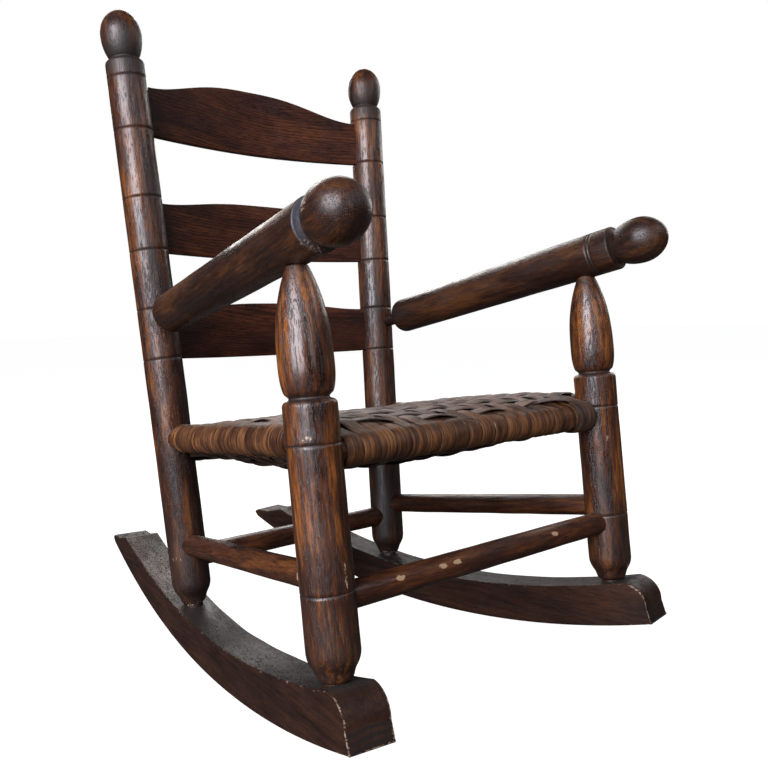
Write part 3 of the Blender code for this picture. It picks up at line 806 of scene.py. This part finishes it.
def rocker_top(s):
    """The top edge: parallel arcs, a quarter-round nose and a long bevel to the rear."""
    def arc(s):
        forward = max(0.0, (s - ROCKER_LOW_S) / (ROCKER_NOSE_S - ROCKER_LOW_S))
        backward = max(0.0, (ROCKER_LOW_S - s) / (ROCKER_LOW_S - ROCKER_BEVEL_S))
        return running_edge(s) + ROCKER_DEPTH + ROCKER_SWELL * forward - ROCKER_TAPER * backward**2

    if s > ROCKER_NOSE_S:
        share = (s - ROCKER_NOSE_S) / ROCKER_NOSE
        if share <= 1:
            return arc(ROCKER_NOSE_S) - ROCKER_NOSE_DROP * (1 - math.sqrt(1 - share**2))
        shoulder = arc(ROCKER_NOSE_S) - ROCKER_NOSE_DROP
        fall = (s - ROCKER_NOSE_S - ROCKER_NOSE) / ROCKER_NOSE_LEAN
        return shoulder + (running_edge(ROCKER_FRONT_S) - shoulder) * fall
    if s < ROCKER_BEVEL_S:
        rear = ROCKER_REAR_S
        edge = running_edge(rear)
        front = arc(ROCKER_BEVEL_S)
        places = (rear - 0.0005, rear, rear + 0.0040, ROCKER_BEVEL_S - 0.0260, ROCKER_BEVEL_S)
        return float(np.interp(s, places, (edge + 0.0045, edge + 0.0062, edge + 0.0082, front - 0.0062, front)))
    return arc(s)


def make_rocker(word):
    side = SIDES[word]
    foot = POSTS["back_post_" + word][0]
    forward = POSTS["front_post_" + word][0] - foot
    forward = np.array([forward[0], forward[1], 0]) / math.hypot(forward[0], forward[1])
    across = np.array([forward[1], -forward[0], 0])
    spots = list(ROCKER_REAR_S + np.array([-0.0005, 0, 0.0008, 0.0016, 0.0026, 0.0040]))
    spots += list(np.linspace(ROCKER_REAR_S + 0.0060, ROCKER_BEVEL_S, 22))
    spots += list(np.linspace(ROCKER_BEVEL_S, ROCKER_NOSE_S, 150))[1:]
    spots += [ROCKER_NOSE_S + ROCKER_NOSE * math.sin(a) for a in np.linspace(0, math.pi / 2, 15)][1:]
    spots += list(np.linspace(ROCKER_FRONT_S - ROCKER_NOSE_LEAN, ROCKER_FRONT_S, 34))[1:]
    rings, grains, marks = [], [], []
    for s in spots:
        lift = 0.0030 * max(0.0, (ROCKER_REAR_S + 0.0040 - s) / 0.0045) ** 2
        low = max(0.0, running_edge(s)) + lift
        high = max(low + 0.0016, rocker_top(s))
        wear = 0.0011 + 0.0005 * math.sin(37 * s + side) + 0.0004 * math.sin(91 * s)
        room = (high - low) * 0.45
        corners = [min(room, r) for r in (0.0018, wear, wear, 0.0018)]
        section = board_section(ROCKER_THICK, low, high, corners, 10)
        rings.append([foot * (1, 1, 0) + forward * s + across * a + np.array([0, 0, z]) for a, z in section])
        grains.append([(a + 0.019 * side, z - 0.16, s + 2 * side) for a, z in section])
        at_front = s > ROCKER_NOSE_S + 0.3 * ROCKER_NOSE
        row = np.zeros((len(section), 3))
        for i, (a, z) in enumerate(section):
            outer = abs(abs(a) - ROCKER_THICK / 2) < 0.0011
            corner = outer and min(high - z, z - low) < 0.0015
            top = high - z < 0.0010 and abs(a) < ROCKER_THICK / 2 - 0.001
            # Painted sheen: a grey veil over the top face, from behind the rear bevel to the nose.
            between = ease((s + 0.06) / 0.03) * (1 - ease((s - 0.318) / 0.014))
            row[i, 1] = 0.80 * between if top else 0.0
            row[i, 2] = (0.56 if at_front else 0.40) if corner else 0.0
            if top and s > ROCKER_NOSE_S + ROCKER_NOSE:
                band = math.sin(z * 1150 + 1.3 * math.sin(a * 160 + side) + 2 * side)
                row[i, 0] = 0.30 + 0.62 * ease(0.5 + 0.9 * band)
        marks.append(row)
    board = skin("curved_rocker_" + word, np.array(rings), np.array(grains), np.array(marks), ROCKER_OAK)
    stand_in(board, "rocker_" + word)


# Seat.


def rail_line(name, towards):
    start, way, length = axis_of(name, towards)
    return start, start + way * length


def spring(share):
    """From 0 to 1, rising at once and then levelling off."""
    return 1 - (1 - min(1.0, max(0.0, share))) ** 2


class Seat:
    """Heights and edges of the woven seat, from the four seat rails."""

    def __init__(self):
        self.front = rail_line("seat_rail_front", (1, 0, 0))[0]
        self.back = rail_line("seat_rail_back", (1, 0, 0))[0]
        self.side_back, self.side_front = rail_line("seat_rail_right", (0, -1, 0))
        start, way, _ = axis_of("seat_rail_front", (1, 0, 0))
        self.reach = radius_of("seat_rail_front", way, start) + STRIP_THICK / 2 + 0.0007

    def side(self, y):
        """(x, z) of the right side rail's centre line at this y."""
        share = (y - self.side_front[1]) / (self.side_back[1] - self.side_front[1])
        spot = self.side_front + (self.side_back - self.side_front) * share
        return spot[0], spot[2]

    def warp_height(self, y):
        share = (y - self.front[1]) / (self.back[1] - self.front[1])
        return self.front[2] + (self.back[2] - self.front[2]) * share

    def level(self, x, y, crown, power, start, start_share):
        """The weave's middle height here, less its thickness.

        crown is how far its middle stands over its rails, and a higher power keeps it flatter towards the sides.
        It takes start_share of the depth to leave the front rail, in the way that start gives.
        """
        share = (y - self.front[1]) / (self.back[1] - self.front[1])
        inside = min(1.0, abs(x) / (self.side(y)[0] - 0.004))
        rise = (self.side(y)[1] - self.warp_height(y)) * (0.15 + 0.85 * inside**2.5)
        rise *= start(share / 0.15) * ease((1 - share) / 0.2)
        crown *= start(share / start_share) * ease((1 - share) / 0.6) * (1 - inside**power)
        return self.warp_height(y) + rise + crown

    def top(self, x, y):
        return self.level(x, y, SEAT_CROWN, 4, spring, 0.36) + self.reach

    def bottom(self, x, y):
        return self.level(x, y, -SEAT_SAG, 6, ease, 0.3) - self.reach


def twill(index):
    """The height, -1 to 1, of a strip that goes over two and under two. index is its place plus the other's."""
    return math.cos(math.pi / 2 * (index + 0.5))


def strip(name, path, widths, sideways, seed, wraps, undersides, closed=True, worn_edge=None):
    """A flat splint along a path of points. sideways is the strip's direction across its width at each point."""
    path = np.array(path)
    widths, wraps, undersides = (np.array(values)[:, None] for values in (widths, wraps, undersides))
    draw = np.random.default_rng(seed)
    if closed:
        ahead = np.roll(path, -1, axis=0) - np.roll(path, 1, axis=0)
    else:
        ahead = np.gradient(path, axis=0)
    ahead /= np.linalg.norm(ahead, axis=1)[:, None]
    side = np.array(sideways, float)
    side = side - ahead * (side * ahead).sum(axis=1)[:, None]
    side /= np.linalg.norm(side, axis=1)[:, None]
    out = np.cross(side, ahead)
    steps = np.linalg.norm(np.diff(path, axis=0), axis=1)
    run = np.concatenate([[0], np.cumsum(steps)])[:, None]
    across = np.array([-1, -0.94, -0.74, -0.4, 0, 0.4, 0.74, 0.94, 1])
    thick = STRIP_THICK / 2 * np.array([0.15, 0.70, 1, 1, 1, 1, 1, 0.70, 0.15])
    a = np.concatenate([across, across[::-1]])[None]
    h = np.concatenate([thick, -thick[::-1]])[None]
    arch = STRIP_ARCH * (1 - a**2) * (1 - 0.75 * wraps)
    tip = draw.uniform(-0.00030, 0.00030) * a
    ripple = 0.00022 * np.sin(run * draw.uniform(50, 110) + draw.uniform(0, 6) + 2.5 * a)
    wander = 0.0007 * np.sin(run * draw.uniform(9, 22) + draw.uniform(0, 6)) * (1 - wraps)
    rings = path[:, None] + side[:, None] * (a * widths / 2 + wander)[..., None]
    rings = rings + out[:, None] * (h + arch + ripple + tip)[..., None]
    shift = draw.uniform(0, 9, 3)
    shape = (len(path), a.shape[1])
    grain = np.stack(np.broadcast_arrays(a * widths / 2, h, run), axis=-1) + shift
    edge = np.clip((np.abs(a) - 0.72) / 0.24, 0, 1)
    marks = np.zeros((*shape, 3))
    # Painted shade: darker towards each edge, less where the strip wraps a rail, and over the underside's strips.
    marks[..., 0] = np.maximum(edge * (0.95 - 0.55 * wraps), undersides)
    marks[..., 1] = wraps + (1 - wraps) * draw.uniform(0.0, 0.5)
    worn_edge = 0.54 * draw.uniform(0, 1) ** 0.5 if worn_edge is None else worn_edge
    marks[..., 2] = np.clip((np.abs(a) - 0.86) / 0.14, 0, 1) * wraps * worn_edge
    return skin(name, rings, grain, marks, SPLINT, closed)


class Route:
    """Collects a strip's path, with what its material needs at each point."""

    def __init__(self):
        self.path, self.wraps, self.undersides, self.widths = [], [], [], []

    def add(self, point, width, wrap, underside=0.0):
        self.path.append(point)
        self.widths.append(width)
        self.wraps.append(wrap)
        self.undersides.append(underside)

    def weave(self, point, width, wrap, sign):
        """A point on the seat's top (sign 1) or underside (-1)."""
        over = sign > 0
        # Underneath, a strip takes painted shade.
        self.add(point, width - STRIP_GAP, wrap if over else UNDER_WRAP, 0.0 if over else UNDER_SHADE)

    def strip(self, name, sideways, seed):
        sideways = [sideways] * len(self.path)
        return strip(name, self.path, self.widths, sideways, seed, self.wraps, self.undersides)


def make_corner_strip(seat):
    """The first side-to-side splint has no room behind the right front post, so it folds down over the rail."""
    rail_y, rail_z = seat.front[1:]
    over = rail_z + seat.reach
    turn_radius = seat.reach + 0.0024
    # Each row is a centre line point, the direction of the strip's left-hand edge, and the width.
    rows = [
        (0.060, rail_y + 0.0190, over - 0.0010, 0, -1, 0, 0.0150),
        (0.080, rail_y + 0.0185, over + 0.0022, 0, -1, 0, 0.0165),
        (0.100, rail_y + 0.0175, over + 0.0044, -0.10, -1, 0, 0.0185),
        (0.118, rail_y + 0.0150, over + 0.0056, -0.35, -0.9, 0, 0.0215),
        (0.131, rail_y + 0.0105, over + 0.0054, -0.70, -0.7, 0, 0.0250),
        (0.1400, rail_y + 0.0045, over + 0.0042, -0.92, -0.35, 0, 0.0290),
    ]
    for angle in np.radians((80, 60, 40, 20, 0, -20, -40, -60, -80, -100, -120)):
        y = rail_y - turn_radius * math.cos(angle)
        shrink = 0.0026 * ease((-angle - 1.0) / 1.0)
        z = rail_z + (turn_radius - shrink) * math.sin(angle)
        rows.append((0.1430, y + shrink, z, -1, 0, 0, 0.0310))
    rows = curve_through(rows, 6)
    points, sideways, widths = ([row[part] for row in rows] for part in (slice(3), slice(3, 6), 6))
    wraps = [0.15 + 0.55 * ease((i - 24) / 20) for i in range(len(rows))]
    # Painted shade, darker as the strip folds down round the rail.
    shades = [0.30 + 0.15 * ease((i - 20) / 20) for i in range(len(rows))]
    return strip("corner_splint", points, widths, sideways, 447, wraps, shades, closed=False, worn_edge=0.52)


def make_seat():
    seat = Seat()
    up, down = 0.5 * math.pi, -0.5 * math.pi
    inner_front = post_place("front_post_right", 0.173)[0] - FRONT_RADIUS - 0.0006
    inner_back = post_place("back_post_right", 0.163)[0] - BACK_RADIUS - 0.0012
    front_pitch = 2 * inner_front / WARPS
    back_pitch = min(front_pitch, 2 * inner_back / (WARPS - 2 * SHORT_WARPS))
    depth = seat.back[1] - seat.front[1]
    side_first = seat.side_front[1] + FRONT_RADIUS + POST_GAP + WEFT_PITCH / 2
    side_last = seat.side_back[1] - BACK_RADIUS - POST_GAP - WEFT_PITCH / 2
    rows = int(round((side_last - side_first) / WEFT_PITCH)) + 1
    middle_first = seat.front[1] + 0.0060 + WEFT_PITCH / 2
    middle_last = seat.back[1] - seat.reach - POST_GAP - WEFT_PITCH / 2

    def pitch_at(y):
        share = min(1.0, max(0.0, (y - seat.front[1]) / depth))
        return front_pitch + (back_pitch - front_pitch) * share

    def weft_centres(x):
        """The wefts lie closer to the rails in the middle, where no post holds them back."""
        inside = min(1.0, abs(x) / seat.side(seat.front[1])[0]) ** 2
        return (
            middle_first + (side_first - middle_first) * inside,
            middle_last + (side_last - middle_last) * inside,
        )

    def clear_of_rail(distance):
        return ease(distance / 0.024)

    made_warps, made_wefts = [], []

    # Warps, seen from the right: up and over the front rail, back across the top, round the back rail, forward.
    for i in range(-(WARPS // 2), WARPS // 2 + 1):
        draw = np.random.default_rng(700 + i)
        size = WEAVE_LIFT * draw.uniform(0.85, 1.2)
        short = abs(i) > WARPS // 2 - SHORT_WARPS
        end_y = seat.back[1]
        if short:
            ys = np.linspace(seat.front[1], seat.back[1], 200)
            room = [seat.side(y)[0] - seat.reach * 0.55 - (abs(i) + 0.35) * pitch_at(y) for y in ys]
            blocked = np.append(ys[np.array(room) < 0], seat.back[1] - BACK_RADIUS - POST_GAP)
            end_y = float(blocked.min())
        route = Route()
        brow = i * pitch_at(seat.front[1])
        climb = seat.top(brow, seat.front[1] + 0.005) - seat.top(brow, seat.front[1])
        lean = math.atan2(0.9 * climb, 0.005)
        for a, z in arc_points(seat.front[1:], seat.reach, 3 * up, up + lean):
            route.add((i * pitch_at(a), a, z), pitch_at(a) - WRAP_GAP, 1.0)
        spots = np.arange(seat.front[1] + 0.002, end_y - 0.002, STRIP_STEP)
        for height, places, sign in ((seat.top, spots, 1), (seat.bottom, spots[::-1], -1)):
            for y in places:
                x = i * pitch_at(y)
                first, last = weft_centres(x)
                wave = twill(i + (y - first) / (last - first) * (rows - 1) + (0 if sign > 0 else 1))
                lift = size * wave * sign * clear_of_rail(y - seat.front[1]) * clear_of_rail(seat.back[1] - y)
                dive = -0.004 * sign * ease(1 - (end_y - y) / 0.02) if short else 0.0
                wrap = ease(1.1 - (y - seat.front[1]) / 0.026)
                route.weave((x, y, height(x, y) + lift + dive), pitch_at(y), wrap, sign)
            if sign > 0 and not short:
                for a, z in arc_points(seat.back[1:], seat.reach, up, down):
                    route.add((i * pitch_at(a), a, z), pitch_at(a) - WRAP_GAP, 0.8)
        made_warps.append(route.strip(f"warp_{i}", (1, 0, 0), 300 + i))

    # Wefts, seen from the front: up the right side rail, left across the top, down, and back underneath.
    for j in range(rows):
        draw = np.random.default_rng(800 + j)
        size = WEAVE_LIFT * draw.uniform(0.85, 1.2)
        share = j / (rows - 1)

        def weft_y(x, share=share):
            first, last = weft_centres(x)
            return first + (last - first) * share

        def weft_width(x):
            first, last = weft_centres(x)
            return (last - first) / (rows - 1)

        edge_y = side_first + (side_last - side_first) * share
        x_side, z_side = seat.side(edge_y)
        reach = seat.reach + 0.0004
        spots = np.arange(-x_side + 0.001, x_side - 0.001, STRIP_STEP)
        route = Route()
        for sign, places in ((1, spots[::-1]), (-1, spots)):
            turns = (down, up) if sign > 0 else (up, 3 * up)
            for a, z in arc_points((sign * x_side, z_side), reach, *turns):
                route.add((a, edge_y, z), weft_width(x_side) - WRAP_GAP, 1.0)
            for x in places:
                y = weft_y(x)
                near = x_side - abs(x)
                blend = clear_of_rail(near)
                wave = -twill(x / pitch_at(y) + j + (0 if sign > 0 else 1))
                height = (seat.top if sign > 0 else seat.bottom)(x, y) + size * wave * sign
                rail = z_side + reach * sign
                point = (x, y, rail * (1 - blend) + height * blend)
                route.weave(point, weft_width(x), ease(1.05 - near / 0.022), sign)
        made_wefts.append(route.strip(f"weft_{j}", (0, 1, 0), 400 + j))
    made_wefts.append(make_corner_strip(seat))
    stand_in(join("warp_splints", made_warps), "seat_warp")
    stand_in(join("weft_splints", made_wefts), "seat_weft")


def join(name, pieces):
    """Puts several pieces into one object."""
    with bpy.context.temp_override(active_object=pieces[0], selected_editable_objects=pieces, object=pieces[0]):
        bpy.ops.object.join()
    pieces[0].name = name
    return pieces[0]


# Stage, lights and camera.


def camera_mix(tree, seen, unseen):
    """Shows one shader to the camera and lights the object with the other."""
    ray = tree.nodes.new("ShaderNodeLightPath")
    mix = tree.nodes.new("ShaderNodeMixShader")
    tree.links.new(ray.outputs["Is Camera Ray"], mix.inputs[0])
    tree.links.new(unseen, mix.inputs[1])
    tree.links.new(seen, mix.inputs[2])
    return mix.outputs[0]


def make_stage():
    mesh = bpy.data.meshes.new("floor")
    corners = [(30 * x, 30 * y, 0) for x, y in ((-1, -1), (1, -1), (1, 1), (-1, 1))]
    mesh.from_pydata(corners, [], [(0, 1, 2, 3)])
    floor = placed("floor", mesh)
    paper = bpy.data.materials.new("floor")
    paper.use_nodes = True
    tree = paper.node_tree
    pale = tree.nodes["Principled BSDF"]
    pale.inputs["Base Color"].default_value = (0.24, 0.24, 0.24, 1)
    pale.inputs["Roughness"].default_value = 1.0
    pale.inputs["Specular IOR Level"].default_value = 0.0
    pale.inputs["Emission Color"].default_value = (1, 1, 1, 1)
    pale.inputs["Emission Strength"].default_value = 0.97
    bounce = tree.nodes.new("ShaderNodeBsdfDiffuse")
    bounce.inputs["Color"].default_value = (0.085, 0.078, 0.072, 1)
    surface = camera_mix(tree, pale.outputs[0], bounce.outputs[0])
    tree.links.new(surface, tree.nodes["Material Output"].inputs["Surface"])
    mesh.materials.append(paper)
    world = bpy.data.worlds.new("studio")
    bpy.context.scene.world = world
    world.use_nodes = True
    tree = world.node_tree
    white = tree.nodes["Background"]
    white.inputs["Color"].default_value = (1, 1, 1, 1)
    white.inputs["Strength"].default_value = 1.0
    room = tree.nodes.new("ShaderNodeBackground")
    room.inputs["Color"].default_value = (0.92, 0.95, 1.0, 1)
    room.inputs["Strength"].default_value = 0.075
    surface = camera_mix(tree, white.outputs[0], room.outputs[0])
    tree.links.new(surface, tree.nodes["World Output"].inputs["Surface"])


def area_light(name, place, width, height, power, colour):
    """A soft light that faces the middle of the chair."""
    light = bpy.data.lights.new(name, "AREA")
    light.shape = "RECTANGLE"
    light.size = width
    light.size_y = height
    light.energy = power
    light.color = colour
    lamp = placed(name, light)
    lamp.location = place
    lamp.rotation_mode = "QUATERNION"
    lamp.rotation_quaternion = ((CAD_BOX[0] + CAD_BOX[1]) / 2 - Vector(place)).to_track_quat("-Z", "Y")


def make_lights():
    area_light("window", (-2.0, -0.85, 1.15), 1.7, 1.7, 138, (0.92, 0.92, 1.0))
    area_light("room", (-0.35, -2.3, 1.3), 0.8, 1.5, 9, (1.0, 0.95, 0.92))
    area_light("door", (0.85, -1.35, 1.40), 0.5, 0.7, 4, (0.78, 0.86, 1.0))
    area_light("behind", (1.10, 2.20, 1.70), 1.9, 1.3, 50, (1.0, 0.97, 0.94))
    area_light("side", (2.40, 0.30, 1.30), 1.2, 1.2, 15, (1.0, 0.97, 0.94))


def make_camera():
    camera = bpy.data.cameras.new("camera")
    camera.lens = 40.02
    camera.sensor_width = 36
    viewer = placed("camera", camera)
    viewer.location = (-0.5661, -0.7275, 0.3335)
    ahead = Vector((0.66219, 0.74589, -0.07180))
    roll = math.radians(-1.017)
    viewer.rotation_mode = "QUATERNION"
    viewer.rotation_quaternion = ahead.to_track_quat("-Z", "Y") @ Quaternion((0, 0, 1), roll)
    bpy.context.scene.camera = viewer


make_turned_pieces()
for number, (slat_name, sizes) in enumerate(SLATS.items()):
    make_slat(slat_name, *sizes, number + 1)
for side_word in SIDES:
    make_rocker(side_word)
make_seat()
make_stage()
make_lights()
make_camera()
bpy.context.scene.view_settings.view_transform = "Standard"
